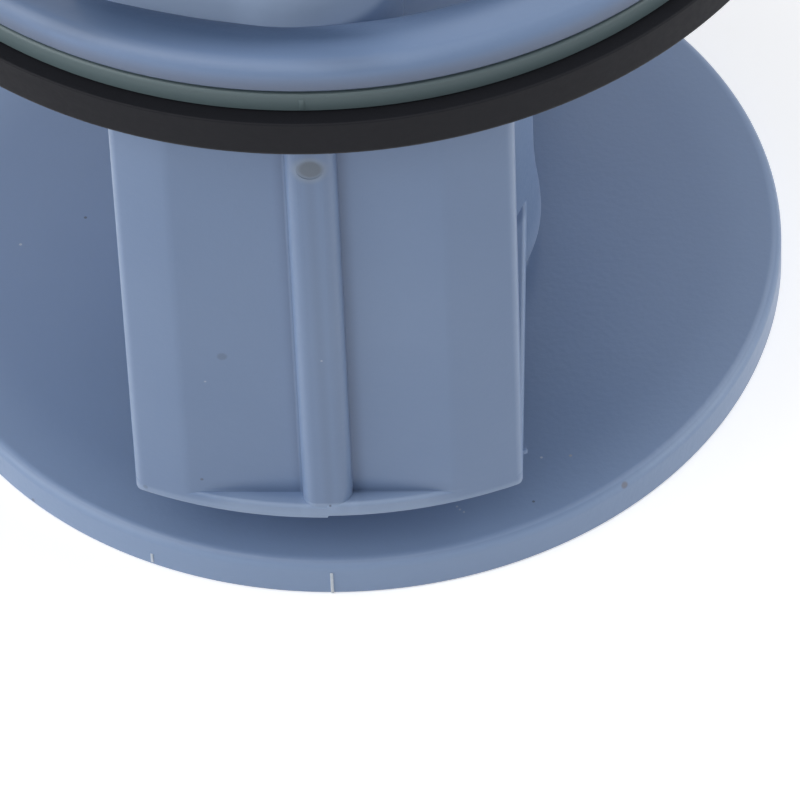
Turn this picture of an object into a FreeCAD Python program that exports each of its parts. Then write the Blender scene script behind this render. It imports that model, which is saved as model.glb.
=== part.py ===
# Drain pump filter of a washing machine: a one-piece moulded filter body with an end disc,
# a column with two open-sided wings, and a cupped cap with a twist grip. A rubber sealing
# ring and a backing ring sit in the groove under the cap's rim.
# Millimetres. The origin is the centre of the end disc's underside, +Z runs up to the grip,
# and the front wing faces -Y.
import FreeCAD, Part
import math
import os

import Sketcher

# Driving dimensions: alias, value in millimetres or degrees
dimensions = [
    ("disc_radius", 29.0),
    ("disc_thickness", 2.9),
    ("disc_round", 0.55),
    ("column_radius", 12.75),
    ("stem_inset", 0.6),
    ("stem_height", 1.9),
    ("stem_foot", 0.5),
    ("collar_reach", 0.38),
    ("collar_height", 0.9),
    ("collar_round", 0.2),
    ("wing_gap", 5.75),
    ("wing_height", 33.4),
    ("wing_width", 24.55),
    ("floor_thickness", 1.2),
    ("lip_round", 0.3),
    ("plate_thickness", 3.4),
    ("flat_depth", 1.25),
    ("rib_width", 3.05),
    ("rib_depth", 1.17),
    ("rib_round", 1.1),
    ("corner_round", 0.95),
    ("web_thickness", 2.4),
    ("gate_radius", 0.8),
    ("gate_depth", 0.3),
    ("gate_drop", 1.43),
    ("neck_height", 1.4),
    ("flange_reach", 0.93),
    ("flange_height", 1.0),
    ("groove_depth", 1.7),
    ("groove_clearance", 0.05),
    ("seal_radius", 32.35),
    ("seal_section", 3.1),
    ("seal_height", 2.95),
    ("seal_round", 0.35),
    ("ring_section", 1.95),
    ("ring_height", 1.25),
    ("slot_height", 0.65),
    ("slot_depth", 0.95),
    ("rim_overhang", 2.25),
    ("rim_height", 1.7),
    ("rim_round", 1.35),
    ("rim_width", 6.45),
    ("cup_depth", 8.0),
    ("cup_round", 4.8),
    ("lug_reach", 2.2),
    ("lug_height", 1.4),
    ("lug_span", 26.0),
    ("grip_seat", 2.2),
    ("grip_width", 19.0),
    ("grip_waist", 12.0),
    ("grip_height", 14.0),
    ("grip_corner", 4.5),
    ("grip_round", 2.0),
    ("grip_turn", 10.5),
    ("edge_break", 0.25),
]

doc = FreeCAD.newDocument("pump_filter")
sheet = doc.addObject("Spreadsheet::Sheet", "Sizes")
for row, (alias, value) in enumerate(dimensions, start=1):
    sheet.set(f"A{row}", alias)
    sheet.set(f"B{row}", str(value))
    sheet.setAlias(f"B{row}", alias)
doc.recompute()

# Levels along the axis, each built on the one below
disc_top = "Sizes.disc_thickness"
stem_top = f"{disc_top} + Sizes.stem_height"
collar_top = f"{stem_top} + Sizes.collar_height"
wing_bottom = f"{disc_top} + Sizes.wing_gap"
neck_bottom = f"{wing_bottom} + Sizes.wing_height"
flange_bottom = f"{neck_bottom} + Sizes.neck_height"
groove_bottom = f"{flange_bottom} + Sizes.flange_height"
seal_top = f"{groove_bottom} + Sizes.seal_height"
slot_bottom = f"{seal_top} + Sizes.ring_height"
rim_bottom = f"{slot_bottom} + Sizes.slot_height"
rim_top = f"{rim_bottom} + Sizes.rim_height"
cup_floor = f"{rim_top} - Sizes.cup_depth"
floor_top = f"{wing_bottom} + Sizes.floor_thickness"

# Radii, worked out from the bore that the rubber ring closes
groove_radius = "(Sizes.seal_radius - Sizes.seal_section - Sizes.groove_clearance)"
flange_radius = f"({groove_radius} + Sizes.groove_depth)"
plug_radius = f"({flange_radius} - Sizes.flange_reach)"
ring_radius = f"({groove_radius} + Sizes.groove_clearance + Sizes.ring_section)"
rim_radius = f"({groove_radius} + Sizes.rim_overhang)"
cup_radius = f"({rim_radius} - Sizes.rim_width)"
grip_reach = f"({cup_radius} + Sizes.grip_seat)"
slot_radius = f"({rim_radius} - Sizes.slot_depth)"
stem_radius = "(Sizes.column_radius - Sizes.stem_inset)"
collar_radius = "(Sizes.column_radius + Sizes.collar_reach)"
flat_radius = f"({plug_radius} - Sizes.flat_depth)"
rib_radius = f"({flat_radius} + Sizes.rib_depth)"
zero = "0 mm"


def size(expression):
    return float(sheet.evalExpression(expression.replace("Sizes.", "")))


def point(x, y):
    return FreeCAD.Vector(x, y, 0)


def new_body(label):
    body = doc.addObject("PartDesign::Body", label)
    body.Label = label
    return body


def new_sketch(body, name, plane, level=zero):
    sketch = body.newObject("Sketcher::SketchObject", name)
    planes = {feature.Role: feature for feature in body.Origin.OriginFeatures}
    sketch.AttachmentSupport = (planes[plane], [""])
    sketch.MapMode = "FlatFace"
    sketch.setExpression("AttachmentOffset.Base.z", level)
    return sketch


def drive(sketch, name, expression, *constraint):
    index = sketch.addConstraint(Sketcher.Constraint(*constraint, size(expression)))
    sketch.renameConstraint(index, name)
    sketch.setExpression(f"Constraints.{name}", expression)


def close_loop(sketch, first, count):
    for step in range(count):
        follower = first + (step + 1) % count
        sketch.addConstraint(Sketcher.Constraint("Coincident", first + step, 2, follower, 1))


def add_polygon(sketch, corners):
    # A closed outline whose corners are each placed by two driven distances from the origin
    places = [point(size(x), size(y)) for x, y in corners]
    for index, start in enumerate(places):
        end = places[(index + 1) % len(places)]
        sketch.addGeometry(Part.LineSegment(start, end), False)
    close_loop(sketch, 0, len(places))
    for index, (x, y) in enumerate(corners):
        drive(sketch, f"x{index}", x, "DistanceX", -1, 1, index, 1)
        drive(sketch, f"y{index}", y, "DistanceY", -1, 1, index, 1)


def add_arc(sketch, centre, radius, start, end):
    circle = Part.Circle(centre, FreeCAD.Vector(0, 0, 1), radius)
    return sketch.addGeometry(Part.ArcOfCircle(circle, start, end), False)


def revolve(body, name, sketch):
    feature = body.newObject("PartDesign::Revolution", name)
    feature.Profile = sketch
    feature.ReferenceAxis = (sketch, ["V_Axis"])
    feature.Angle = 360
    doc.recompute()
    return feature


def pad(body, name, sketch, length):
    feature = body.newObject("PartDesign::Pad", name)
    feature.Profile = sketch
    feature.setExpression("Length", length)
    doc.recompute()
    return feature


def round_edges(body, name, radius, wanted):
    # Rounds each edge of the body so far that the test picks out
    base = body.Tip
    picked = [f"Edge{i}" for i, edge in enumerate(base.Shape.Edges, start=1) if wanted(edge)]
    feature = body.newObject("PartDesign::Fillet", name)
    feature.Base = (base, picked)
    feature.setExpression("Radius", radius)
    doc.recompute()
    return feature


def near(a, b):
    return abs(a - b) < 1e-4


def is_ring_edge(edge, radius, level):
    curve = edge.Curve
    if curve.TypeId != "Part::GeomCircle":
        return False
    return near(curve.Radius, size(radius)) and near(curve.Center.z, size(level))


def is_upright(edge, x, y):
    box = edge.BoundBox
    if not (near(box.XLength, 0) and near(box.YLength, 0)):
        return False
    return near(abs(box.XMin), x) and near(abs(box.YMin), y)


def is_level(edge, level):
    box = edge.BoundBox
    return near(box.ZMin, level) and near(box.ZMax, level)


def turned_form(body):
    # Disc, stem, collar, column, neck, flange, groove, slot, rim and cup in one turned outline
    sketch = new_sketch(body, "turned_outline", "XZ_Plane")
    add_polygon(sketch, [
        (zero, zero),
        ("Sizes.disc_radius", zero),
        ("Sizes.disc_radius", disc_top),
        (stem_radius, disc_top),
        (stem_radius, stem_top),
        (collar_radius, stem_top),
        (collar_radius, collar_top),
        ("Sizes.column_radius", collar_top),
        ("Sizes.column_radius", neck_bottom),
        (plug_radius, neck_bottom),
        (plug_radius, flange_bottom),
        (flange_radius, flange_bottom),
        (flange_radius, groove_bottom),
        (groove_radius, groove_bottom),
        (groove_radius, slot_bottom),
        (slot_radius, slot_bottom),
        (slot_radius, rim_bottom),
        (rim_radius, rim_bottom),
        (rim_radius, rim_top),
        (cup_radius, rim_top),
        (cup_radius, cup_floor),
        (zero, cup_floor),
    ])
    revolve(body, "turned_form", sketch)
    round_edges(body, "disc_edge", "Sizes.disc_round",
                lambda edge: is_ring_edge(edge, "Sizes.disc_radius", disc_top))
    round_edges(body, "stem_foot", "Sizes.stem_foot", lambda edge: is_ring_edge(edge, stem_radius, disc_top))
    round_edges(body, "collar_edges", "Sizes.collar_round",
                lambda edge: is_ring_edge(edge, collar_radius, stem_top)
                or is_ring_edge(edge, collar_radius, collar_top))
    round_edges(body, "rim_edge", "Sizes.rim_round", lambda edge: is_ring_edge(edge, rim_radius, rim_top))
    round_edges(body, "cup_mouth", "Sizes.cup_round", lambda edge: is_ring_edge(edge, cup_radius, rim_top))
    round_edges(body, "broken_edges", "Sizes.edge_break",
                lambda edge: is_ring_edge(edge, "Sizes.disc_radius", zero)
                or is_ring_edge(edge, rim_radius, rim_bottom)
                or is_ring_edge(edge, flange_radius, flange_bottom))


def wing_floor(body):
    # One plate under both wings, cut to the plug's circle at its ends, with rounded lips there
    sketch = new_sketch(body, "floor_outline", "XY_Plane", wing_bottom)
    radius = size(plug_radius)
    half = size("Sizes.wing_width") / 2
    reach = math.sqrt(radius ** 2 - half ** 2)
    turn = math.asin(half / radius)
    centre = point(0, 0)
    sketch.addGeometry(Part.LineSegment(point(half, -reach), point(half, reach)), False)
    add_arc(sketch, centre, radius, math.pi / 2 - turn, math.pi / 2 + turn)
    sketch.addGeometry(Part.LineSegment(point(-half, reach), point(-half, -reach)), False)
    add_arc(sketch, centre, radius, 3 * math.pi / 2 - turn, 3 * math.pi / 2 + turn)
    close_loop(sketch, 0, 4)
    for line in (0, 2):
        sketch.addConstraint(Sketcher.Constraint("Vertical", line))
    for arc in (1, 3):
        sketch.addConstraint(Sketcher.Constraint("Coincident", arc, 3, -1, 1))
    sketch.addConstraint(Sketcher.Constraint("Equal", 1, 3))
    drive(sketch, "plug", plug_radius, "Radius", 1)
    drive(sketch, "right", "Sizes.wing_width / 2", "DistanceX", -1, 1, 0, 1)
    drive(sketch, "left", "-Sizes.wing_width / 2", "DistanceX", -1, 1, 2, 1)
    pad(body, "wing_floor", sketch, "Sizes.floor_thickness")
    round_edges(body, "lip_edges", "Sizes.lip_round", lambda edge: is_ring_edge(edge, plug_radius, floor_top))


def wing_plate(body, name, side):
    # The wing's outer wall: two strips of the plug's circle, a sunk flat between them
    # and a rib down the middle. side is -1 at the front and 1 at the back.
    sketch = new_sketch(body, f"{name}_outline", "XY_Plane", wing_bottom)
    flat_y = f"{side} * {flat_radius}"
    rib_y = f"{side} * {rib_radius}"
    back_y = f"{side} * ({flat_radius} - Sizes.plate_thickness)"
    radius = size(plug_radius)
    half = size("Sizes.wing_width") / 2
    rib = size("Sizes.rib_width") / 2
    edge = side * math.sqrt(radius ** 2 - half ** 2)
    flat = size(flat_y)
    chord = math.sqrt(radius ** 2 - flat ** 2)
    back = size(back_y)
    front = size(rib_y)
    # The back wing's outline is the front one's turned by half a turn
    x = [side * value for value in (-half, half, chord, rib, -rib, -chord)]
    centre = point(0, 0)

    def angle(x_place, y_place):
        return math.atan2(y_place, x_place) % (2 * math.pi)

    sketch.addGeometry([
        Part.LineSegment(point(x[0], back), point(x[0], edge)),
        Part.LineSegment(point(x[5], flat), point(x[4], flat)),
        Part.LineSegment(point(x[4], flat), point(x[4], front)),
        Part.LineSegment(point(x[4], front), point(x[3], front)),
        Part.LineSegment(point(x[3], front), point(x[3], flat)),
        Part.LineSegment(point(x[3], flat), point(x[2], flat)),
        Part.LineSegment(point(x[1], edge), point(x[1], back)),
        Part.LineSegment(point(x[1], back), point(x[0], back)),
    ], False)
    ends = sorted([angle(x[0], edge), angle(x[5], flat)])
    first_arc = add_arc(sketch, centre, radius, *ends)
    ends = sorted([angle(x[2], flat), angle(x[1], edge)])
    second_arc = add_arc(sketch, centre, radius, *ends)
    first_forward = angle(x[0], edge) < angle(x[5], flat)
    start, end = (1, 2) if first_forward else (2, 1)
    joins = [
        (0, 2, first_arc, start), (first_arc, end, 1, 1), (1, 2, 2, 1), (2, 2, 3, 1), (3, 2, 4, 1),
        (4, 2, 5, 1), (5, 2, second_arc, start), (second_arc, end, 6, 1), (6, 2, 7, 1), (7, 2, 0, 1),
    ]
    for join in joins:
        sketch.addConstraint(Sketcher.Constraint("Coincident", *join))
    for line in (0, 2, 4, 6):
        sketch.addConstraint(Sketcher.Constraint("Vertical", line))
    for line in (1, 3, 5, 7):
        sketch.addConstraint(Sketcher.Constraint("Horizontal", line))
    for arc in (first_arc, second_arc):
        sketch.addConstraint(Sketcher.Constraint("Coincident", arc, 3, -1, 1))
    sketch.addConstraint(Sketcher.Constraint("Equal", first_arc, second_arc))
    drive(sketch, "plug", plug_radius, "Radius", first_arc)
    drive(sketch, "wing_start", f"{-side} * Sizes.wing_width / 2", "DistanceX", -1, 1, 0, 1)
    drive(sketch, "wing_end", f"{side} * Sizes.wing_width / 2", "DistanceX", -1, 1, 6, 1)
    drive(sketch, "rib_start", f"{-side} * Sizes.rib_width / 2", "DistanceX", -1, 1, 2, 1)
    drive(sketch, "rib_end", f"{side} * Sizes.rib_width / 2", "DistanceX", -1, 1, 4, 1)
    drive(sketch, "flat_start", flat_y, "DistanceY", -1, 1, 1, 1)
    drive(sketch, "flat_end", flat_y, "DistanceY", -1, 1, 5, 1)
    drive(sketch, "rib_front", rib_y, "DistanceY", -1, 1, 3, 1)
    drive(sketch, "plate_back", back_y, "DistanceY", -1, 1, 7, 1)
    pad(body, name, sketch, "Sizes.wing_height")


def wing_web(body):
    # The wall that joins both wings to the column
    sketch = new_sketch(body, "web_outline", "XY_Plane", wing_bottom)
    half = "Sizes.web_thickness / 2"
    reach = f"({flat_radius} - Sizes.plate_thickness / 2)"
    add_polygon(sketch, [
        (f"-{half}", f"-{reach}"),
        (half, f"-{reach}"),
        (half, reach),
        (f"-{half}", reach),
    ])
    pad(body, "wing_web", sketch, "Sizes.wing_height")


def wings(body):
    wing_floor(body)
    wing_plate(body, "front_wing", -1)
    wing_plate(body, "back_wing", 1)
    wing_web(body)
    half = size("Sizes.wing_width") / 2
    radius = size(plug_radius)
    edge = math.sqrt(radius ** 2 - half ** 2)
    rib = size("Sizes.rib_width") / 2
    rib_front = size(rib_radius)
    round_edges(body, "wing_corners", "Sizes.corner_round", lambda item: is_upright(item, half, edge))
    round_edges(body, "rib_corners", "Sizes.rib_round", lambda item: is_upright(item, rib, rib_front))
    round_edges(body, "floor_edges", "Sizes.edge_break",
                lambda item: is_ring_edge(item, plug_radius, wing_bottom))


def gate_mark(body):
    # The round hollow left by the mould's gate, near the top of the front rib
    sketch = new_sketch(body, "gate_outline", "XZ_Plane", rib_radius)
    height = f"({neck_bottom} - Sizes.gate_drop)"
    circle = Part.Circle(point(0, size(height)), FreeCAD.Vector(0, 0, 1), size("Sizes.gate_radius"))
    sketch.addGeometry(circle, False)
    sketch.addConstraint(Sketcher.Constraint("PointOnObject", 0, 3, -2))
    drive(sketch, "height", height, "DistanceY", -1, 1, 0, 3)
    drive(sketch, "gate", "Sizes.gate_radius", "Radius", 0)
    hollow = body.newObject("PartDesign::Pocket", "gate_mark")
    hollow.Profile = sketch
    hollow.setExpression("Length", "Sizes.gate_depth")
    doc.recompute()


def lugs(body):
    # Two bayonet lugs level with the underside of the rim, at +X and -X
    sketch = new_sketch(body, "lug_outline", "XY_Plane", rim_bottom)
    half_span = math.radians(size("Sizes.lug_span")) / 2
    inner = size(f"{rim_radius} - Sizes.rim_round")
    outer = size(f"{rim_radius} + Sizes.lug_reach")
    centre = point(0, 0)

    def on_circle(radius, angle):
        return point(radius * math.cos(angle), radius * math.sin(angle))

    for index, middle in enumerate((0, math.pi)):
        low = middle - half_span
        high = middle + half_span
        first = 4 * index
        add_arc(sketch, centre, outer, low, high)
        sketch.addGeometry(Part.LineSegment(on_circle(outer, high), on_circle(inner, high)), False)
        add_arc(sketch, centre, inner, low, high)
        sketch.addGeometry(Part.LineSegment(on_circle(inner, low), on_circle(outer, low)), False)
        joins = [(0, 2, 1, 1), (1, 2, 2, 2), (2, 1, 3, 1), (3, 2, 0, 1)]
        for a, a_end, b, b_end in joins:
            pair = (first + a, a_end, first + b, b_end)
            sketch.addConstraint(Sketcher.Constraint("Coincident", *pair))
        for arc in (first, first + 2):
            sketch.addConstraint(Sketcher.Constraint("Coincident", arc, 3, -1, 1))
        drive(sketch, f"outer{index}", f"{rim_radius} + Sizes.lug_reach", "Radius", first)
        drive(sketch, f"inner{index}", f"{rim_radius} - Sizes.rim_round", "Radius", first + 2)
        sign = 1 if index == 0 else -1
        reach = f"({rim_radius} + Sizes.lug_reach)"
        depth = f"({rim_radius} - Sizes.rim_round)"
        rise = "sin(Sizes.lug_span / 2 * 1 deg)"
        drive(sketch, f"start{index}", f"{-sign} * {reach} * {rise}", "DistanceY", -1, 1, first, 1)
        drive(sketch, f"end{index}", f"{sign} * {reach} * {rise}", "DistanceY", -1, 1, first, 2)
        drive(sketch, f"low{index}", f"{-sign} * {depth} * {rise}", "DistanceY", -1, 1, first + 2, 1)
        drive(sketch, f"high{index}", f"{sign} * {depth} * {rise}", "DistanceY", -1, 1, first + 2, 2)
    pad(body, "lugs", sketch, "Sizes.lug_height")


def grip(body):
    # A bar across the cup, with rounded ends and a waist for the fingers
    sketch = new_sketch(body, "grip_outline", "XY_Plane", cup_floor)
    sketch.setExpression("AttachmentOffset.Rotation.Angle", "-Sizes.grip_turn * 1 deg")
    corner = size("Sizes.grip_corner")
    across = size("Sizes.grip_width") / 2 - corner
    along = size(grip_reach) - corner
    end = along + corner
    waist = size("Sizes.grip_waist") / 2
    offset = waist - across
    side = (offset ** 2 + along ** 2 - corner ** 2) / (2 * (corner - offset))
    side_centre = waist + side
    lean = math.atan2(along, side_centre - across)
    down = 3 * math.pi / 2
    sketch.addGeometry(Part.LineSegment(point(across, end), point(-across, end)), False)
    add_arc(sketch, point(-across, along), corner, math.pi / 2, math.pi + lean)
    add_arc(sketch, point(-side_centre, 0), side, -lean, lean)
    add_arc(sketch, point(-across, -along), corner, math.pi - lean, down)
    sketch.addGeometry(Part.LineSegment(point(-across, -end), point(across, -end)), False)
    add_arc(sketch, point(across, -along), corner, down, 2 * math.pi + lean)
    add_arc(sketch, point(side_centre, 0), side, math.pi - lean, math.pi + lean)
    add_arc(sketch, point(across, along), corner, -lean, math.pi / 2)
    tangents = [
        (0, 2, 1, 1), (1, 2, 2, 2), (2, 1, 3, 1), (3, 2, 4, 1),
        (4, 2, 5, 1), (5, 2, 6, 2), (6, 1, 7, 1), (7, 2, 0, 1),
    ]
    for join in tangents:
        sketch.addConstraint(Sketcher.Constraint("Tangent", *join))
    drive(sketch, "top_centre", f"{grip_reach} - Sizes.grip_corner", "DistanceY", -1, 1, 7, 3)
    drive(sketch, "low_centre", f"Sizes.grip_corner - {grip_reach}", "DistanceY", -1, 1, 5, 3)
    drive(sketch, "right_centre", "Sizes.grip_width / 2 - Sizes.grip_corner", "DistanceX", -1, 1, 7, 3)
    drive(sketch, "left_centre", "Sizes.grip_corner - Sizes.grip_width / 2", "DistanceX", -1, 1, 1, 3)
    sketch.addConstraint(Sketcher.Constraint("Horizontal", 0))
    sketch.addConstraint(Sketcher.Constraint("Horizontal", 4))
    sketch.addConstraint(Sketcher.Constraint("Vertical", 7, 3, 5, 3))
    sketch.addConstraint(Sketcher.Constraint("Vertical", 1, 3, 3, 3))
    drive(sketch, "corner", "Sizes.grip_corner", "Radius", 7)
    sketch.addConstraint(Sketcher.Constraint("PointOnObject", 2, 3, -1))
    pad(body, "grip", sketch, "Sizes.cup_depth + Sizes.grip_height")
    top = size(f"{rim_top} + Sizes.grip_height")
    round_edges(body, "grip_edges", "Sizes.grip_round", lambda edge: is_level(edge, top))


def filter_body():
    body = new_body("filter_body")
    turned_form(body)
    wings(body)
    gate_mark(body)
    lugs(body)
    grip(body)
    return body


def groove_ring(label, outer, bottom, height, rounding):
    # A ring that sits in the groove with a small clearance all round
    body = new_body(label)
    sketch = new_sketch(body, f"{label}_section", "XZ_Plane")
    inside = f"{groove_radius} + Sizes.groove_clearance"
    low = f"{bottom} + Sizes.groove_clearance"
    high = f"{bottom} + {height} - Sizes.groove_clearance"
    add_polygon(sketch, [(inside, low), (outer, low), (outer, high), (inside, high)])
    revolve(body, f"{label}_turned", sketch)
    round_edges(body, f"{label}_edges", rounding,
                lambda edge: is_ring_edge(edge, outer, low) or is_ring_edge(edge, outer, high))
    return body


parts = [
    filter_body(),
    groove_ring("sealing_ring", "Sizes.seal_radius", groove_bottom, "Sizes.seal_height", "Sizes.seal_round"),
    groove_ring("backing_ring", ring_radius, seal_top, "Sizes.ring_height", "Sizes.edge_break"),
]
doc.recompute()

for item in doc.Objects:
    if "Invalid" in item.State or "Error" in item.State:
        raise RuntimeError(f"{item.Label} failed: {item.State}")
for part in parts:
    if part.Shape.isNull() or not part.Shape.isValid():
        raise RuntimeError(f"{part.Label} has no valid shape")

os.makedirs("parts", exist_ok=True)
for part in parts:
    part.Shape.exportStep(f"parts/{part.Label}.step")
    print(part.Label, f"{part.Shape.Volume:.1f} mm3", part.Shape.BoundBox)
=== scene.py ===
# Drain pump filter of a washing machine, dressed for a studio shot
import math

import bmesh
import bpy
from mathutils import Matrix, Vector


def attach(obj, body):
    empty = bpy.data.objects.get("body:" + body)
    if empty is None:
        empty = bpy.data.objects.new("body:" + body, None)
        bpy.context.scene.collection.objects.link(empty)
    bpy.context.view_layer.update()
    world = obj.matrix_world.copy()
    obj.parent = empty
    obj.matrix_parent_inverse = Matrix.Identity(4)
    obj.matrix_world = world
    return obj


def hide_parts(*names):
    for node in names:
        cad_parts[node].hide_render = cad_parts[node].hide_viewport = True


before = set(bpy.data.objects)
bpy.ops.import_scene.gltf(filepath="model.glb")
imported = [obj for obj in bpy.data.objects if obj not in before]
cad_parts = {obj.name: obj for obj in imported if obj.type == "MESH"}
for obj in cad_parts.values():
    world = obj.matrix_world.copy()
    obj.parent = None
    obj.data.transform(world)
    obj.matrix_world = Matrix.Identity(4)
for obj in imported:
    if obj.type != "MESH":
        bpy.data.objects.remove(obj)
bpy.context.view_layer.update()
mm = 0.001
touch = 0.001 * mm  # points closer than this count as one
sharp = (0, 0)  # a corner's rounding in mm and its segments
white = (1.0, 1.0, 1.0, 1.0)
bpy.ops.object.select_all(action="DESELECT")
print("frame loaded:", sorted(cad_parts))


class Wire:
    # one output of a node, which can be used in sums
    def __init__(self, shader, socket):
        self.shader = shader
        self.socket = socket

    def calc(self, operation, left, right):
        return self.shader.add("Math", {"operation": operation}, {0: left, 1: right})

    def __add__(self, other):
        return self.calc("ADD", self, other)

    def __sub__(self, other):
        return self.calc("SUBTRACT", self, other)

    def __rsub__(self, other):
        return self.calc("SUBTRACT", other, self)

    def __mul__(self, other):
        return self.calc("MULTIPLY", self, other)

    __radd__ = __add__
    __rmul__ = __mul__


class Shader:
    # a new material or world, and the nodes that are added to it
    def __init__(self, name, kind="Material"):
        self.owner = {"Material": bpy.data.materials, "World": bpy.data.worlds}[kind].new(name)
        self.owner.use_nodes = True
        self.tree = self.owner.node_tree
        self.tree.nodes.clear()
        self.output = self.tree.nodes.new("ShaderNodeOutput" + kind)

    def link(self, value, socket):
        if isinstance(value, Wire):
            self.tree.links.new(value.socket, socket)
        else:
            socket.default_value = value

    def add(self, kind, settings=None, inputs=None, out=0):
        node = self.tree.nodes.new("ShaderNode" + kind)
        for name, value in (settings or {}).items():
            if name == "stops":
                for element, (place, level) in zip(node.color_ramp.elements, value):
                    element.position = place
                    element.color = (level, level, level, 1)
            else:
                setattr(node, name, value)
        for name, value in (inputs or {}).items():
            self.link(value, node.inputs[name])
        return Wire(self, node.outputs[out])

    def axis(self, vector, name):
        return self.add("SeparateXYZ", {}, {0: vector}, out=name)

    def unsigned(self, value):
        return self.add("Math", {"operation": "ABSOLUTE"}, {0: value})

    def distance(self, place, centre):
        return self.add("VectorMath", {"operation": "DISTANCE"}, {0: place, 1: centre}, out="Value")

    def noise(self, place, scale, detail):
        return self.add("TexNoise", {}, {"Vector": place, "Scale": scale, "Detail": detail})

    def swing(self, noise, amount):
        # a noise lies about a half, this swings about 0
        return (noise - 0.5) * amount

    def ramp(self, value, low, high):
        return self.add("ValToRGB", {"stops": [(low, 0.0), (high, 1.0)]}, {0: value})

    def fade(self, value, near, far):
        # 1 below near, 0 above far
        values = {"Value": value, "From Min": near, "From Max": far, "To Min": 1.0, "To Max": 0.0}
        return self.add("MapRange", {"interpolation_type": "SMOOTHSTEP"}, values)

    def rise(self, value, none, full):
        # 0 at one place and 1 at the other, both in mm
        if none > full:
            return self.fade(value, full * mm, none * mm)
        return 1 - self.fade(value, none * mm, full * mm)

    def band(self, value, limits):
        # from nothing to full, and with four limits from full to nothing again
        level = self.rise(value, limits[0], limits[1])
        if len(limits) == 4:
            level = level * self.rise(value, limits[3], limits[2])
        return level

    def spot(self, place, centre, radius, core=0.55):
        # 1 within a small ball, given in mm, with a soft edge outside its core
        away = self.distance(place, [value * mm for value in centre])
        return self.fade(away, core * radius * mm, radius * mm)

    def dust(self, place, scale, radius, share, core=0.5):
        # scattered specks: cells of a given scale, a share of which hold a speck
        cells = self.add("TexVoronoi", {}, {"Vector": place, "Scale": scale})
        edge = radius * mm * scale
        chance = self.add("SeparateColor", {}, {0: Wire(self, cells.socket.node.outputs["Color"])})
        held = self.add("Math", {"operation": "LESS_THAN"}, {0: chance, 1: share})
        return self.fade(cells, core * edge, edge) * held

    def blend(self, factor, first, second):
        return self.add("Mix", {"data_type": "RGBA"}, {0: factor, 6: first, 7: second}, out=2)

    def bump(self, height, strength, distance):
        return self.add("Bump", {}, {"Height": height, "Strength": strength, "Distance": distance})

    def seenBy(self, kinds):
        # 1 for these kinds of ray
        seen = 0.0
        for kind in kinds:
            ray = self.add("LightPath", out="Is " + kind + " Ray")
            seen = self.add("Math", {"operation": "MAXIMUM"}, {0: seen, 1: ray})
        return seen

    def surface(self, shader):
        self.tree.links.new(shader.socket, self.output.inputs["Surface"])
        return self.owner

    def principled(self, inputs):
        return self.surface(self.add("BsdfPrincipled", {}, inputs))


def standAt(name, thing, place, aim, roll=0.0):
    # sets up a camera or a lamp at a place, facing another
    holder = bpy.data.objects.new(name, thing)
    bpy.context.scene.collection.objects.link(holder)
    facing = (Vector(aim) - Vector(place)).to_track_quat("-Z", "Y").to_matrix().to_4x4()
    rolled = Matrix.Rotation(math.radians(roll), 4, "Z")
    holder.matrix_world = Matrix.Translation(place) @ facing @ rolled
    return holder


# camera: where the photograph was taken from, in metres and degrees
shot = {
    "place": (0.023007, -0.360957, 0.392108),
    "aim": (0.003133, 0.000172, -0.014138),
    "roll": -2.894,
    "lens": 360.0,  # mm, as is the sensor
    "sensor": 36.0,
    "clip": (0.01, 20.0),
}
camera = bpy.data.cameras.new("shotCamera")
camera.lens = shot["lens"]
camera.sensor_width = shot["sensor"]
camera.clip_start, camera.clip_end = shot["clip"]
bpy.context.scene.camera = standAt("shotCamera", camera, shot["place"], shot["aim"], shot["roll"])
print("camera placed")


# soft studio light: soft boxes all round, strongest at the right and high on the left, over a pale floor
studio = {
    "worldLevel": 0.044,  # as a light
    "worldGlow": 1.0,  # as it is seen
    "aim": (0.0, 0.0, 0.03),
    "boxSize": 0.55,
    "lamps": [
        # name, place, power in watts
        ("leftLowBox", (-0.669, -0.386, 0.237), 1.4),
        ("leftHighBox", (-0.490, -0.283, 0.596), 2.26),
        ("leftSideBox", (-0.773, 0.0, 0.237), 1.5),
        ("leftBackBox", (-0.669, 0.386, 0.237), 0.75),
        ("rightBox", (0.773, 0.0, 0.237), 2.4),
        ("rightBackBox", (0.490, 0.283, 0.596), 1.82),
        ("frontBox", (0.0, -0.566, 0.596), 1.12),
        ("backBox", (0.0, 0.566, 0.596), 0.55),
        ("topBox", (0.0, -0.139, 0.818), 0.9),
    ],
    "floorSize": 6.0,
    "floorColour": (0.86, 0.86, 0.87, 1.0),
    "floorBounce": 0.02,  # glow that lights the filter from below
    "floorGlow": 0.42,  # glow as it is seen
}
for name, place, power in studio["lamps"]:
    lamp = bpy.data.lights.new(name, "AREA")
    lamp.shape = "SQUARE"
    lamp.size = studio["boxSize"]
    lamp.energy = power
    standAt(name, lamp, place, studio["aim"])


def paleRoom():
    # white to the camera, in reflections and through things, and dim as a light
    shader = Shader("studioWorld", "World")
    dim = shader.add("Background", {}, {"Color": white, "Strength": studio["worldLevel"]})
    bright = shader.add("Background", {}, {"Color": white, "Strength": studio["worldGlow"]})
    seen = shader.seenBy(("Camera", "Glossy", "Transmission"))
    return shader.surface(shader.add("MixShader", {}, {0: seen, 1: dim, 2: bright}))


def paleFloor():
    # pale, and near white to the camera and in reflections where no shadow falls
    shader = Shader("paleFloor")
    diffuse = shader.add("BsdfDiffuse", {}, {"Color": studio["floorColour"]})
    bounce = shader.add("Emission", {}, {"Color": white, "Strength": studio["floorBounce"]})
    shown = shader.add("Emission", {}, {"Color": white, "Strength": studio["floorGlow"]})
    seen = shader.seenBy(("Camera", "Glossy"))
    glow = shader.add("MixShader", {}, {0: seen, 1: bounce, 2: shown})
    return shader.surface(shader.add("AddShader", {}, {0: diffuse, 1: glow}))


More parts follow.
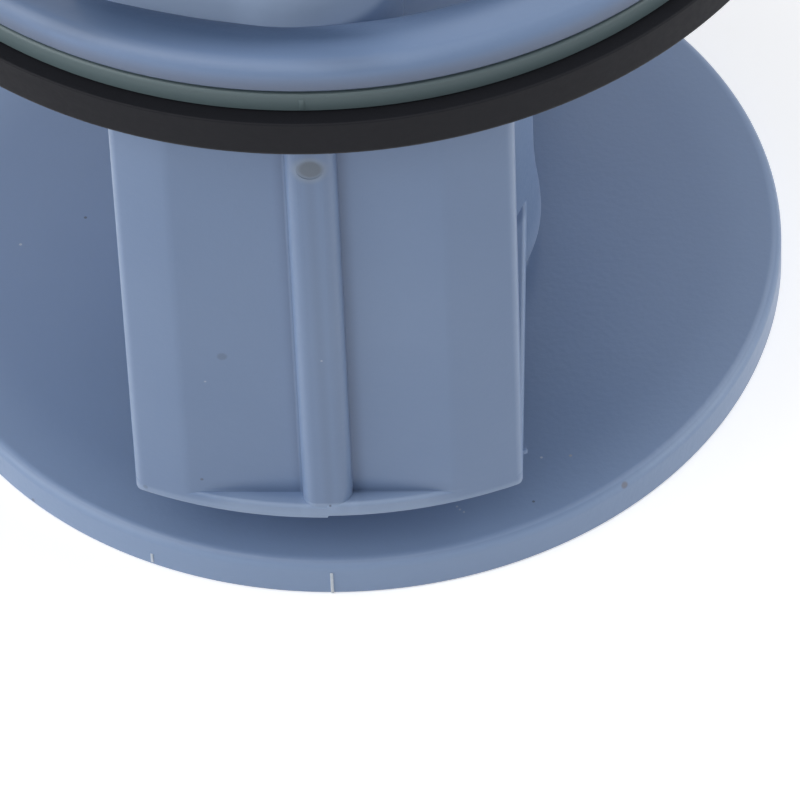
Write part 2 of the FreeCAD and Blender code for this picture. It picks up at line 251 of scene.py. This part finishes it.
bpy.context.scene.world = paleRoom()
bpy.ops.mesh.primitive_plane_add(size=studio["floorSize"], location=(0, 0, 0))
floor = bpy.context.active_object
floor.name = "studioFloor"
floor.data.materials.append(paleFloor())
print("studio lit")


# moulded blue-grey plastic of the body
bodyLook = {
    "colour": (0.155, 0.230, 0.382, 1.0),
    "paler": (0.173, 0.249, 0.400, 1.0),
    "roughness": 0.36,
    "uneven": {"grain": 0.12, "scratches": 0.06, "clouds": 0.10},  # what they do to the roughness
    "refraction": 1.46,
    "clouds": (60.0, 3.0),  # scale and detail
    "cloudRamp": (0.35, 0.7),
    "grain": (2400.0, 2.0),  # scale and detail
    "grainBump": (0.04, 0.0004),  # strength and distance
    "scratches": (1.0, 2.0),  # scale and detail of a noise that is drawn out one way
    "scratchRamp": (0.66, 0.74),
    "scratchTurn": (0.4, 0.3, 0.9),
    "scratchScale": (60.0, 3200.0, 60.0),
    "tones": {
        # the first seven tones are painted light and shade, the last two are dust
        "discPaintedLight": (0.250, 0.345, 0.520, 1.0),
        "edgePaintedLight": (0.260, 0.345, 0.500, 1.0),
        "rimPaintedShade": (0.110, 0.135, 0.200, 1.0),
        "panelPaintedShade": (0.05, 0.075, 0.14, 1.0),
        "paintedLight": (0.270, 0.360, 0.530, 1.0),
        "footPaintedShade": (0.05, 0.085, 0.16, 1.0),
        "gripEndPaintedLight": (0.320, 0.410, 0.565, 1.0),
        "paleDust": (0.42, 0.47, 0.55, 1.0),
        "darkDust": (0.045, 0.050, 0.062, 1.0),
    },
    "footTurn": 10.5,  # degrees, along and across are measured along the turned grip
    "layers": [
        # tone, strength and bands in mm: each goes from nothing to full, and with four numbers back to
        # nothing; aside and deep are measured from the middle, tilt is 0 on upright faces, 1 on level ones
        # painted light on the disc's edge and on the outer part of its top
        ("discPaintedLight", 0.68, {
            "height": (-0.9, -0.5, 2.5, 2.9), "radius": (28.0, 29.0), "aside": (40.0, 24.0)}),
        ("discPaintedLight", 0.38, {
            "height": (2.74, 2.8, 2.95, 3.01), "radius": (23.5, 28.5), "aside": (40.0, 24.0)}),
        # painted highlights on the collar and along the foot of the lip, and painted light on the lip's
        # middle
        ("edgePaintedLight", 0.40, {
            "height": (3.6, 4.8, 6.2, 7.4), "radius": (12.9, 13.1), "aside": (40.0, 24.0)}),
        ("edgePaintedLight", 0.55, {
            "height": (8.0, 8.4, 8.9, 9.3), "radius": (28.8, 29.7), "aside": (25.0, 15.0)}),
        ("edgePaintedLight", 0.75, {
            "height": (8.34, 8.4, 9.86, 9.92), "radius": (28.8, 29.7), "aside": (9.0, 5.4)}),
        # painted shade on the rim's lower edge
        ("rimPaintedShade", 0.74, {
            "height": (47.6, 48.9, 49.2, 50.5), "radius": (30.2, 31.2), "aside": (40.0, 24.0)}),
        # the line on the rib where the mould's halves met
        ("darkDust", 0.12, {
            "height": (9.7, 9.9, 42.0, 42.2), "radius": (29.2, 29.6), "aside": (0.55, 0.0)}),
        # painted shade on the sunk flats, at their foot above the ledge and beside the rib
        ("panelPaintedShade", 0.26, {
            "height": (9.7, 9.8, 9.85, 11.1), "deep": (28.52, 28.58, 28.9, 29.0), "aside": (8.6, 5.5)}),
        ("panelPaintedShade", 0.30, {
            "height": (9.7, 9.8, 42.0, 42.2), "deep": (28.52, 28.58, 28.9, 29.0), "aside": (2.5, 1.6)}),
        # painted highlights on the edges of the wings and of their ribs
        ("paintedLight", 0.40, {
            "height": (8.4, 8.7, 41.8, 42.0), "radius": (28.9, 29.4), "aside": (11.75, 12.3, 12.5, 12.9)}),
        ("paintedLight", 0.36, {
            "height": (8.4, 8.7, 41.8, 42.0), "radius": (28.9, 29.4), "aside": (0.95, 1.45, 1.65, 2.05)}),
        # painted light on the floor beside the wings
        ("paintedLight", 0.75, {
            "height": (9.6, 9.7, 9.9, 10.0), "radius": (13.0, 13.4, 28.0, 28.6), "aside": (8.0, 11.0)}),
        # painted shade in the cup around the foot of the grip
        ("footPaintedShade", 0.85, {
            "height": (44.0, 45.0, 50.85, 51.1), "along": (25.8, 27.6, 29.0, 30.8), "across": (12.0, 6.0),
            "tilt": (0.3, 0.6)}),
    ],
    "cup": {
        # the shaded inside of the cup, apart from the grip's sides and deeper on the left
        "middle": -2.5,
        "height": (42.5, 42.8, 51.0, 51.3),
        "fromMiddle": (30.8, 28.5),
        "gripTilt": (0.6, 0.3),
        "gripAcross": (10.2, 9.6),
        "left": (1.0, -4.0),
        "strength": 0.42,
        "leftAdds": 0.30,
    },
    # painted light on the grip's upright ends
    "gripEndsPaintedLight": ("gripEndPaintedLight", 0.95, {
        "height": (49.0, 50.0), "radius": (22.0, 24.0, 28.3, 29.0), "tilt": (0.6, 0.3)}),
    "dust": [
        # tone, strength, then cells in a metre, radius in mm, and the share of cells with a speck
        ("paleDust", 0.6, (260.0, 0.11, 0.10)),
        ("darkDust", 0.6, (210.0, 0.10, 0.07)),
    ],
    "marks": [
        # place in mm, radius in mm, strength, colour
        ((0.0, -29.89, 40.62), 1.35, 0.32, (0.32, 0.36, 0.37, 1.0)),
        ((0.06, -29.85, 40.66), 0.95, 0.72, (0.09, 0.112, 0.14, 1.0)),
        ((-6.22, -28.66, 22.52), 0.40, 0.35, (0.07, 0.09, 0.12, 1.0)),
        ((-8.08, -28.63, 10.89), 0.14, 0.60, (0.07, 0.08, 0.10, 1.0)),
        ((-11.78, -27.55, 9.02), 0.22, 0.35, (0.07, 0.09, 0.12, 1.0)),
        ((0.04, -29.93, 9.70), 0.10, 0.70, (0.05, 0.06, 0.09, 1.0)),
        ((7.80, -24.19, 2.90), 0.10, 0.55, (0.42, 0.46, 0.52, 1.0)),
        ((7.99, -24.45, 2.90), 0.10, 0.55, (0.42, 0.46, 0.52, 1.0)),
        ((8.25, -24.66, 2.90), 0.10, 0.55, (0.42, 0.46, 0.52, 1.0)),
        ((-21.50, -0.83, 2.90), 0.13, 0.70, (0.42, 0.46, 0.52, 1.0)),
        ((-17.28, 1.55, 2.90), 0.14, 0.70, (0.05, 0.06, 0.07, 1.0)),
        ((12.72, -23.82, 2.90), 0.12, 0.70, (0.05, 0.06, 0.07, 1.0)),
        ((13.21, -20.06, 2.90), 0.11, 0.70, (0.42, 0.46, 0.52, 1.0)),
        ((15.09, -19.92, 2.90), 0.13, 0.60, (0.36, 0.34, 0.30, 1.0)),
        ((18.64, -22.22, 2.55), 0.34, 0.55, (0.16, 0.12, 0.10, 1.0)),
        ((-19.85, -21.14, 0.40), 0.16, 0.70, (0.08, 0.08, 0.09, 1.0)),
    ],
}


def bodyMeasures(shader, place):
    # what the bands of the body's layers are measured by
    flat = shader.add("VectorMath", {"operation": "MULTIPLY"}, {0: place, 1: (1.0, 1.0, 0.0)})
    turn = (0, 0, math.radians(bodyLook["footTurn"]))
    alongGrip = shader.add("Mapping", {}, {"Vector": place, "Rotation": turn})
    facing = shader.add("NewGeometry", out="Normal")
    sideways = shader.axis(place, "X")
    return {
        "height": shader.axis(place, "Z"),
        "radius": shader.distance(flat, (0, 0, 0)),
        "fromMiddle": shader.distance(flat, (bodyLook["cup"]["middle"] * mm, 0, 0)),
        "sideways": sideways,
        "aside": shader.unsigned(sideways),
        "deep": shader.unsigned(shader.axis(place, "Y")),
        "along": shader.unsigned(shader.axis(alongGrip, "Y")),
        "across": shader.unsigned(shader.axis(alongGrip, "X")),
        "tilt": shader.unsigned(shader.axis(facing, "Z")) * mm,  # in mm as the others
    }


def layOver(shader, colour, measures, layer):
    # blends a tone in where all bands of its layer hold
    tone, level, bands = layer
    for name, limits in bands.items():
        level = shader.band(measures[name], limits) * level
    return shader.blend(level, colour, bodyLook["tones"][tone])


def cupShade(shader, measures):
    look = bodyLook["cup"]
    gripSide = shader.band(measures["tilt"], look["gripTilt"])
    gripSide = gripSide * shader.band(measures["across"], look["gripAcross"])
    inside = shader.band(measures["fromMiddle"], look["fromMiddle"])
    inside = inside * shader.band(measures["height"], look["height"]) * (1 - gripSide)
    left = shader.band(measures["sideways"], look["left"])
    return inside * (look["strength"] + look["leftAdds"] * left)


def bodyPlastic():
    look = bodyLook
    shader = Shader("bodyPlastic")
    place = shader.add("TexCoord", out="Object")
    clouds = shader.noise(place, *look["clouds"])
    grain = shader.noise(place, *look["grain"])
    colour = shader.blend(shader.ramp(clouds, *look["cloudRamp"]), look["colour"], look["paler"])
    measures = bodyMeasures(shader, place)
    for layer in look["layers"]:
        colour = layOver(shader, colour, measures, layer)
    colour = shader.blend(cupShade(shader, measures), colour, look["tones"]["footPaintedShade"])
    colour = layOver(shader, colour, measures, look["gripEndsPaintedLight"])
    for tone, strength, specks in look["dust"]:
        colour = shader.blend(shader.dust(place, *specks) * strength, colour, look["tones"][tone])
    for centre, radius, strength, tone in look["marks"]:
        colour = shader.blend(shader.spot(place, centre, radius) * strength, colour, tone)
    drawn = shader.add("Mapping", {}, {
        "Vector": place, "Rotation": look["scratchTurn"], "Scale": look["scratchScale"]})
    scratches = shader.ramp(shader.noise(drawn, *look["scratches"]), *look["scratchRamp"])
    uneven = look["uneven"]
    rough = look["roughness"] + shader.swing(grain, uneven["grain"])
    rough = rough + scratches * uneven["scratches"] + shader.swing(clouds, uneven["clouds"])
    return shader.principled({
        "Base Color": colour, "Roughness": rough, "Normal": shader.bump(grain, *look["grainBump"]),
        "IOR": look["refraction"]})


# black rubber of the sealing ring
sealLook = {
    "colour": (0.0125, 0.013, 0.0165, 1.0),
    "roughness": 0.5,
    "uneven": 0.2,
    "shine": 0.12,
    "refraction": 1.45,
    "grain": (1800.0, 3.0),  # scale and detail
    "grainBump": (0.05, 0.0004),  # strength and distance
}


def sealRubber():
    look = sealLook
    shader = Shader("sealRubber")
    grain = shader.noise(shader.add("TexCoord", out="Object"), *look["grain"])
    rough = look["roughness"] + shader.swing(grain, look["uneven"])
    return shader.principled({
        "Base Color": look["colour"], "Roughness": rough, "Normal": shader.bump(grain, *look["grainBump"]),
        "IOR": look["refraction"], "Specular IOR Level": look["shine"]})


# grey-green plastic of the backing ring
ringLook = {
    "colour": (0.095, 0.136, 0.148, 1.0),
    "roughness": 0.4,
    "uneven": 0.1,
    "refraction": 1.46,
    "grain": (1800.0, 3.0),  # scale and detail
}


def ringPlastic():
    look = ringLook
    shader = Shader("ringPlastic")
    grain = shader.noise(shader.add("TexCoord", out="Object"), *look["grain"])
    rough = look["roughness"] + shader.swing(grain, look["uneven"])
    return shader.principled({"Base Color": look["colour"], "Roughness": rough, "IOR": look["refraction"]})


# paler plastic where it was squeezed thin between the mould's halves
flashLook = {
    "colour": (0.50, 0.56, 0.64, 1.0),
    "paler": (0.66, 0.70, 0.75, 1.0),
    "roughness": 0.4,
    "uneven": 0.2,
    "refraction": 1.46,
    "clouds": (1500.0, 2.0),  # scale and detail
    "cloudRamp": (0.3, 0.7),
}


def flashPlastic():
    look = flashLook
    shader = Shader("flashPlastic")
    clouds = shader.noise(shader.add("TexCoord", out="Object"), *look["clouds"])
    colour = shader.blend(shader.ramp(clouds, *look["cloudRamp"]), look["colour"], look["paler"])
    rough = look["roughness"] + shader.swing(clouds, look["uneven"])
    return shader.principled({"Base Color": colour, "Roughness": rough, "IOR": look["refraction"]})


# the finish of a piece, its slot and the node that it replaces
bodyKind = (bodyPlastic(), "body_plastic", "filter_body")
flashKind = (flashPlastic(), "body_plastic", "filter_body")
sealKind = (sealRubber(), "seal_rubber", "sealing_ring")
ringKind = (ringPlastic(), "ring_plastic", "backing_ring")
print("materials made")


# drawing and shaping, as by hand
def beginAt(name, start):
    bpy.ops.object.select_all(action="DESELECT")
    bpy.ops.mesh.primitive_plane_add(size=mm, location=(0, 0, 0))
    piece = bpy.context.active_object
    piece.name = name
    piece.data.name = name
    bpy.ops.object.mode_set(mode="EDIT")
    bpy.ops.mesh.select_mode(type="VERT")
    bpy.ops.mesh.select_all(action="SELECT")
    bpy.ops.mesh.merge(type="CENTER")
    bpy.ops.transform.translate(value=start)
    return piece


def choose(piece, kind, test):
    # picks the points, edges or faces that pass a test
    bpy.ops.mesh.select_all(action="DESELECT")
    bpy.ops.mesh.select_mode(type=kind)
    shape = bmesh.from_edit_mesh(piece.data)
    for item in {"VERT": shape.verts, "EDGE": shape.edges, "FACE": shape.faces}[kind]:
        if test(item):
            item.select_set(True)
    shape.select_flush_mode()
    bmesh.update_edit_mesh(piece.data)


def drawOutline(name, corners, closed):
    # corners are place in mm, rounding in mm and its segments; the line is extruded point by point
    places = [Vector(corner[0]) * mm for corner in corners]
    piece = beginAt(name, places[0])
    here = places[0]
    for place in places[1:] + ([places[0]] if closed else []):
        bpy.ops.mesh.extrude_vertices_move(TRANSFORM_OT_translate={"value": place - here})
        here = place
    bpy.ops.mesh.select_all(action="SELECT")
    bpy.ops.mesh.remove_doubles(threshold=touch)
    for place, (_, rounding, segments) in zip(places, corners):
        if rounding:
            choose(piece, "VERT", lambda point: (point.co - place).length < touch)
            bpy.ops.mesh.bevel(
                offset=rounding * mm, segments=segments, affect="VERTICES", clamp_overlap=True)
    return piece


def closeShell():
    bpy.ops.mesh.select_all(action="SELECT")
    bpy.ops.mesh.remove_doubles(threshold=touch)
    bpy.ops.mesh.normals_make_consistent(inside=False)


def turnRound(steps):
    bpy.ops.mesh.select_all(action="SELECT")
    bpy.ops.mesh.spin(steps=steps, angle=2 * math.pi, center=(0, 0, 0), axis=(0, 0, 1))
    closeShell()


def raiseOutline(height):
    # fills the outline and pulls it up
    bpy.ops.mesh.select_all(action="SELECT")
    bpy.ops.mesh.edge_face_add()
    bpy.ops.mesh.extrude_region_move(TRANSFORM_OT_translate={"value": (0, 0, height * mm)})
    closeShell()


def isLevel(edge, height):
    return all(abs(point.co.z - height * mm) < touch for point in edge.verts)


def roundEdges(piece, test, rounding, segments):
    choose(piece, "EDGE", test)
    bpy.ops.mesh.bevel(offset=rounding * mm, segments=segments, affect="EDGES", clamp_overlap=True)


smoothAngle = 40  # degrees, edges that are sharper stay sharp


def finishPiece(piece, finish, slot, node):
    bpy.ops.object.mode_set(mode="OBJECT")
    bpy.ops.object.select_all(action="DESELECT")
    piece.select_set(True)
    bpy.context.view_layer.objects.active = piece
    bpy.ops.object.shade_smooth_by_angle(angle=math.radians(smoothAngle))
    even = piece.modifiers.new("evenShade", "WEIGHTED_NORMAL")
    even.keep_sharp = True
    bpy.ops.object.modifier_apply(modifier=even.name)
    piece.data.materials.clear()
    piece.data.materials.append(finish)
    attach(piece, "root")
    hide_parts(node)


def arcPlaces(radius, start, end, steps, height):
    # places on a circle about the axis; an angle of 0 is the front, and angles grow to the right
    places = []
    for step in range(steps + 1):
        angle = math.radians(start + (end - start) * step / steps)
        places.append((radius * math.sin(angle), -radius * math.cos(angle), height))
    return places


# the turned form of the body: disc, stem, collar, column, plug, groove, slot, rim and cup
turned = {
    "steps": 256,
    # radius and height in mm, rounding in mm and its segments
    "outline": [
        (0.0, 0.0, 0, 0),
        (29.0, 0.0, 0.25, 3),
        (29.0, 2.9, 0.75, 9),
        (12.15, 2.9, 0.5, 5),
        (12.15, 4.8, 0, 0),
        (13.13, 4.8, 0.3, 5),
        (13.10, 5.8, 0.4, 5),
        (12.75, 9.0, 2.0, 6),
        (12.75, 42.05, 0.6, 5),
        (29.97, 42.05, 0.25, 3),
        (29.97, 43.45, 0, 0),
        (30.9, 43.45, 0.25, 3),
        (30.9, 44.35, 0.1, 2),
        (29.2, 44.35, 0, 0),
        (29.2, 48.65, 0, 0),
        (30.5, 48.65, 0, 0),
        (30.5, 48.98, 0, 0),
        (31.45, 48.98, 0.25, 5),
        (31.4, 51.0, 1.05, 10),
        (25.0, 51.0, 4.8, 18),
        (25.0, 43.0, 1.2, 6),
        (0.0, 43.0, 0, 0),
    ],
}


def turnPiece(name, look, closed):
    corners = [((radius, 0, height), rounding, segments)
               for radius, height, rounding, segments in look["outline"]]
    piece = drawOutline(name, corners, closed)
    turnRound(look["steps"])
    return piece


finishPiece(turnPiece("turnedBody", turned, False), *bodyKind)

# the black rubber ring
seal = {
    "steps": 256,
    "outline": [
        (29.25, 44.38, 0, 0),
        (32.34, 44.38, 0.4, 6),
        (32.34, 47.17, 0.14, 4),
        (29.25, 47.17, 0, 0),
    ],
}
finishPiece(turnPiece("sealRing", seal, True), *sealKind)

# the grey-green ring under the rim
backing = {
    "steps": 256,
    "outline": [
        (29.25, 47.27, 0, 0),
        (31.28, 47.27, 0.06, 2),
        (31.28, 48.62, 0.2, 4),
        (30.55, 48.7, 0, 0),
        (30.55, 48.4, 0, 0),
        (29.25, 48.4, 0, 0),
    ],
}
finishPiece(turnPiece("backingBand", backing, True), *ringKind)
print("turned pieces made")

# one floor plate under both wings, its rounded ends are the lips; a round is mm and segments
wingFloor = {
    "radius": 29.966,
    "halfWidth": 12.306,
    "shift": -0.12,  # the front end lies a little to the left, the back end to the right
    "bottom": 8.65,
    "thickness": 1.2,
    "lipSteps": 24,
    "cornerRound": (0.35, 5),
    "lipRound": (0.3, 5),
    "underRound": (0.2, 3),
    "step": 0.17,  # the mould's halves meet at the middle of the front lip, the left one a little lower
    "stepRun": 0.04,
}


def floorPlate():
    look = wingFloor
    spread = math.degrees(math.asin(look["halfWidth"] / look["radius"]))
    steps = look["lipSteps"]
    corners = []
    for middle in (0, 180):
        places = arcPlaces(look["radius"], middle - spread, middle + spread, steps, look["bottom"])
        rounds = [look["cornerRound"]] + [sharp] * (steps - 1) + [look["cornerRound"]]
        corners += [(place, *cornerRound) for place, cornerRound in zip(places, rounds)]
    piece = drawOutline("wingFloor", corners, True)
    raiseOutline(look["thickness"])
    top = look["bottom"] + look["thickness"]
    roundEdges(piece, lambda edge: isLevel(edge, top), *look["lipRound"])
    roundEdges(piece, lambda edge: isLevel(edge, look["bottom"]), *look["underRound"])
    for place in (0.0, -look["stepRun"] * mm):
        bpy.ops.mesh.select_all(action="SELECT")
        bpy.ops.mesh.bisect(plane_co=(place, 0, 0), plane_no=(1, 0, 0), threshold=touch)
    choose(piece, "VERT", lambda point: point.co.x < -0.5 * look["stepRun"] * mm and point.co.y < 0)
    bpy.ops.transform.translate(value=(0, 0, -look["step"] * mm))
    for side in (1, -1):
        choose(piece, "VERT", lambda point: point.co.y * side < -0.5 * look["radius"] * mm)
        bpy.ops.transform.translate(value=(side * look["shift"] * mm, 0, 0))
    return piece


finishPiece(floorPlate(), *bodyKind)

# the wings' outer walls: two strips of the plug's circle, a sunk flat and a rib; a round is mm and segments
wing = {
    "radius": 29.97,
    "halfWidth": 12.31,
    "back": 25.32,
    "flats": (28.62, 28.87),  # depth of the sunk flat at its left and right end
    "lean": 0.18,  # the top lies this much further to the right than the foot
    "rib": 1.58,
    "ribFront": 29.89,
    "bottom": 9.2,
    "top": 42.4,
    "stripSteps": 4,
    "innerRound": (0.3, 3),
    "cornerRound": (0.45, 6),
    "creaseRound": (0.3, 3),
    "ribFoot": (0.25, 3),
    "ribRound": (1.1, 7),
    "gateRadius": 0.8,
    "gateSides": 40,
    "gateDepth": 0.035,
    "gateHeight": 40.62,
}


def wingSide(side):
    # half of the wall's outline, from its inner corner to the rib, on the left (-1) or the right (1)
    look = wing
    level = look["bottom"]
    ends = [math.sqrt(look["radius"] ** 2 - flat ** 2) for flat in look["flats"]]
    slope = (look["flats"][1] - look["flats"][0]) / (ends[0] + ends[1])
    root = look["flats"][0] + slope * (ends[0] + side * look["rib"])
    spread = math.degrees(math.asin(look["halfWidth"] / look["radius"]))
    crease = math.degrees(math.asin(ends[max(side, 0)] / look["radius"]))
    strip = arcPlaces(look["radius"], side * spread, side * crease, look["stripSteps"], level)
    return [
        ((side * look["halfWidth"], -look["back"], level), *look["innerRound"]),
        (strip[0], *look["cornerRound"]),
        *[(place, *sharp) for place in strip[1:-1]],
        (strip[-1], *look["creaseRound"]),
        ((side * look["rib"], -root, level), *look["ribFoot"]),
        ((side * look["rib"], -look["ribFront"], level), *look["ribRound"]),
    ]


def wingWall():
    look = wing
    piece = drawOutline("frontWing", wingSide(-1) + wingSide(1)[::-1], True)
    raiseOutline(look["top"] - look["bottom"])
    bpy.ops.mesh.select_all(action="SELECT")
    bpy.ops.transform.translate(value=(wingFloor["shift"] * mm, 0, 0))
    choose(piece, "VERT", lambda point: point.co.z > 0.5 * (look["bottom"] + look["top"]) * mm)
    bpy.ops.transform.translate(value=(look["lean"] * mm, 0, 0))
    bpy.ops.object.mode_set(mode="OBJECT")
    return piece


def sinkGate(piece):
    # the hollow that the mould's gate left on the front rib
    look = wing
    bpy.ops.object.select_all(action="DESELECT")
    bpy.ops.mesh.primitive_cylinder_add(
        vertices=look["gateSides"], radius=look["gateRadius"] * mm, depth=2 * look["gateDepth"] * mm,
        location=(0, -look["ribFront"] * mm, look["gateHeight"] * mm), rotation=(math.pi / 2, 0, 0))
    cutter = bpy.context.active_object
    hollow = piece.modifiers.new("gateHollow", "BOOLEAN")
    hollow.operation = "DIFFERENCE"
    hollow.solver = "EXACT"
    hollow.object = cutter
    bpy.context.view_layer.objects.active = piece
    bpy.ops.object.modifier_apply(modifier=hollow.name)
    bpy.data.objects.remove(cutter)


frontWing = wingWall()
bpy.ops.object.select_all(action="DESELECT")
frontWing.select_set(True)
bpy.ops.object.duplicate()
backWing = bpy.context.active_object
backWing.name = "backWing"
backWing.data.name = "backWing"
bpy.ops.object.mode_set(mode="EDIT")
bpy.ops.mesh.select_all(action="SELECT")
bpy.ops.transform.rotate(value=math.pi, orient_axis="Z", center_override=(0, 0, 0))
finishPiece(backWing, *bodyKind)
sinkGate(frontWing)
finishPiece(frontWing, *bodyKind)

# the wall that joins both wings to the column, flared where it meets them
web = {
    "half": 1.2,
    "reach": 26.0,
    "flare": 0.7,
    "flareRound": (0.25, 4),
    "bottom": 9.2,
    "top": 42.4,
}


def webWall():
    look = web
    wide = look["half"] + look["flare"]
    back = wing["back"]
    near = back - look["flare"]
    quarter = [
        (wide, -look["reach"], sharp),
        (wide, -back, sharp),
        (look["half"], -near, look["flareRound"]),
    ]
    side = quarter + [(x, -y, corner) for x, y, corner in reversed(quarter)]
    outline = side + [(-x, -y, corner) for x, y, corner in side]
    corners = [((x, y, look["bottom"]), *corner) for x, y, corner in outline]
    piece = drawOutline("wingWeb", corners, True)
    raiseOutline(look["top"] - look["bottom"])
    return piece


finishPiece(webWall(), *bodyKind)
print("wings made")

# the twist grip across the cup
grip = {
    "reach": 27.5,
    "halfWidth": 9.5,
    "waist": 6.0,
    "corner": 3.0,
    "easyCorner": 6.8,  # the corner on the hand's side
    "cornerSteps": 14,
    "sideSteps": 12,
    "setBack": 0.22,  # the rest of an end lies this far behind its nose, on the side of the easy corner
    "nose": (0.2, 2.7),  # where the nose begins to come forward, and is full
    "noseSteps": 5,
    "bottom": 42.8,
    "top": 65.0,
    "topRound": (2.0, 7),
    "turn": 10.5,
    "shrink": 0.95,  # the ends lean inwards towards the top
}


def gripCorner(corner, reach):
    # a corner at the front right, and the hollow side up to the middle of the grip
    look = grip
    across = look["halfWidth"] - corner
    along = reach - corner
    offset = look["waist"] - across
    side = (offset ** 2 + along ** 2 - corner ** 2) / (2 * (corner - offset))
    centre = look["waist"] + side
    lean = math.atan2(along, centre - across)
    places = []
    for step in range(look["cornerSteps"] + 1):
        angle = -math.pi / 2 + (math.pi / 2 + lean) * step / look["cornerSteps"]
        places.append((across + corner * math.cos(angle), -along + corner * math.sin(angle)))
    for step in range(1, look["sideSteps"]):
        angle = lean * (1 - step / look["sideSteps"])
        places.append((centre - side * math.cos(angle), -side * math.sin(angle)))
    return places


def gripNose(behind):
    # eases from the end that is set back to the nose
    look = grip
    start, end = look["nose"]
    places = []
    for step in range(look["noseSteps"] + 1):
        part = step / look["noseSteps"]
        ease = (3 - 2 * part) * part ** 2
        places.append((start + (end - start) * part, -behind - look["setBack"] * ease))
    return places


def twistGrip():
    look = grip
    behind = look["reach"] - look["setBack"]
    easy = gripCorner(look["easyCorner"], look["reach"])
    tight = [(x, -y) for x, y in reversed(gripCorner(look["corner"], behind))]
    half = gripNose(behind) + easy + [(look["waist"], 0.0)] + tight
    outline = half + [(-x, -y) for x, y in half]
    corners = [((x, y, look["bottom"]), *sharp) for x, y in outline]
    piece = drawOutline("twistGrip", corners, True)
    raiseOutline(look["top"] - look["bottom"])
    choose(piece, "VERT", lambda point: point.co.z > 0.5 * (look["bottom"] + look["top"]) * mm)
    bpy.ops.transform.resize(value=(1, look["shrink"], 1), center_override=(0, 0, 0))
    roundEdges(piece, lambda edge: isLevel(edge, look["top"]), *look["topRound"])
    bpy.ops.mesh.select_all(action="SELECT")
    bpy.ops.transform.rotate(
        value=math.radians(look["turn"]), orient_axis="Z", center_override=(0, 0, 0))
    return piece


finishPiece(twistGrip(), *bodyKind)

# the two lugs that lock the filter in its housing
lug = {
    "inner": 30.6,
    "outer": 33.55,
    "span": 26.0,  # degrees
    "bottom": 49.3,
    "height": 1.4,
    "edgeRound": (0.3, 3),
    "outerSteps": 16,
    "innerSteps": 8,
}


def lockLug(name, middle):
    look = lug
    start = middle - look["span"] / 2
    end = middle + look["span"] / 2
    places = arcPlaces(look["outer"], start, end, look["outerSteps"], look["bottom"])
    places += arcPlaces(look["inner"], end, start, look["innerSteps"], look["bottom"])
    piece = drawOutline(name, [(place, *sharp) for place in places], True)
    raiseOutline(look["height"])
    levels = (look["bottom"], look["bottom"] + look["height"])
    roundEdges(piece, lambda edge: any(isLevel(edge, level) for level in levels), *look["edgeRound"])
    return piece


for name, middle in (("rightLug", 90), ("leftLug", -90)):
    finishPiece(lockLug(name, middle), *bodyKind)
print("grip and lugs made")

# threads of plastic that were squeezed out where the mould's halves met
flash = {
    "round": 0.45,  # as a share of how far a thread stands out
    "roundSteps": 3,
    "threads": [
        # name, kind, radius, angle, lower and upper end, width and how far it stands out
        ("frontFlash", flashKind, 29.0, -0.42, 0.12, 2.05, 0.20, 0.09),
        ("sideFlash", flashKind, 29.0, -24.2, 0.36, 1.15, 0.18, 0.07),
        ("edgeFlash", bodyKind, 27.70, 26.25, 8.80, 9.15, 0.42, 0.12),
        ("bandFlash", ringKind, 31.28, -0.2, 47.42, 48.24, 0.30, 0.04),
    ],
}


def flashThread(name, radius, angle, low, high, width, proud):
    bpy.ops.object.select_all(action="DESELECT")
    bpy.ops.mesh.primitive_cube_add(size=mm, location=(0, 0, 0))
    piece = bpy.context.active_object
    piece.name = name
    piece.data.name = name
    bpy.ops.object.mode_set(mode="EDIT")
    bpy.ops.mesh.select_all(action="SELECT")
    bpy.ops.transform.resize(value=(width, 2 * proud, high - low))
    bpy.ops.mesh.bevel(
        offset=flash["round"] * proud * mm, segments=flash["roundSteps"], affect="EDGES")
    bpy.ops.mesh.select_all(action="SELECT")
    bpy.ops.transform.translate(value=(0, -radius * mm, 0.5 * (low + high) * mm))
    bpy.ops.transform.rotate(value=-math.radians(angle), orient_axis="Z", center_override=(0, 0, 0))
    return piece


for name, kind, *measures in flash["threads"]:
    finishPiece(flashThread(name, *measures), *kind)
print("flash made")

bpy.context.scene.view_settings.view_transform = "Standard"
